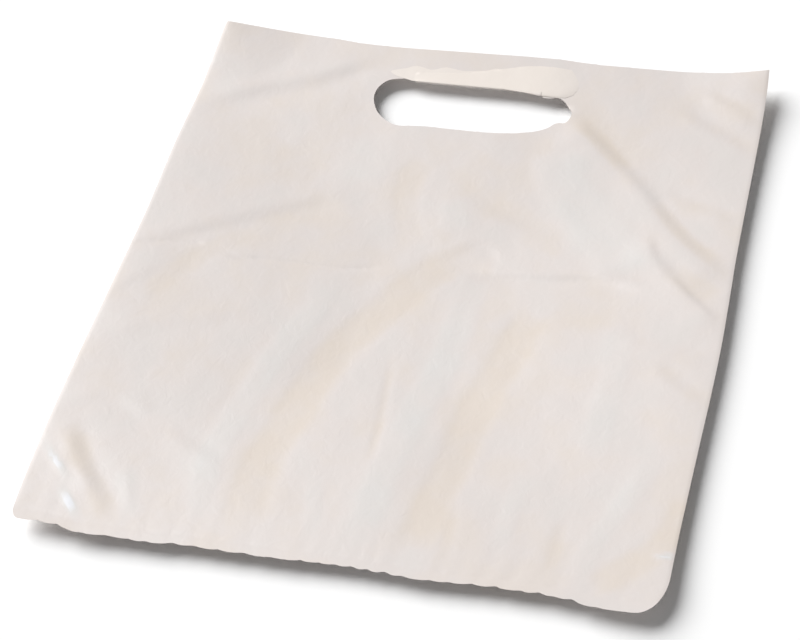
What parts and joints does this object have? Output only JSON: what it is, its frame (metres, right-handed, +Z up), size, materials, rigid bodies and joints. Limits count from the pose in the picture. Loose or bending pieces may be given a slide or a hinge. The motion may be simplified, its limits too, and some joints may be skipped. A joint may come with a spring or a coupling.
{
  "type": "plastic carrier bag",
  "caption": "Flat white film carrier bag with a die-cut hand hole, a flap folded over its upper edge, open mouth and heat-sealed bottom.",
  "frame": {"origin": "on the ground under the middle of the bag, which lies on its back", "axes": "+X across the bag from its left side fold to its right one, +Y along it from the sealed bottom to the mouth, +Z up out of the front ply"},
  "size_m": [0.3, 0.34, 0.014],
  "materials": {
    "polyethylene_film": "satin white blown polyethylene film with a slight warm tint, faintly see-through"
  },
  "bodies": {
    "root": {"film_bag": "polyethylene_film"}
  },
  "joints": []
}
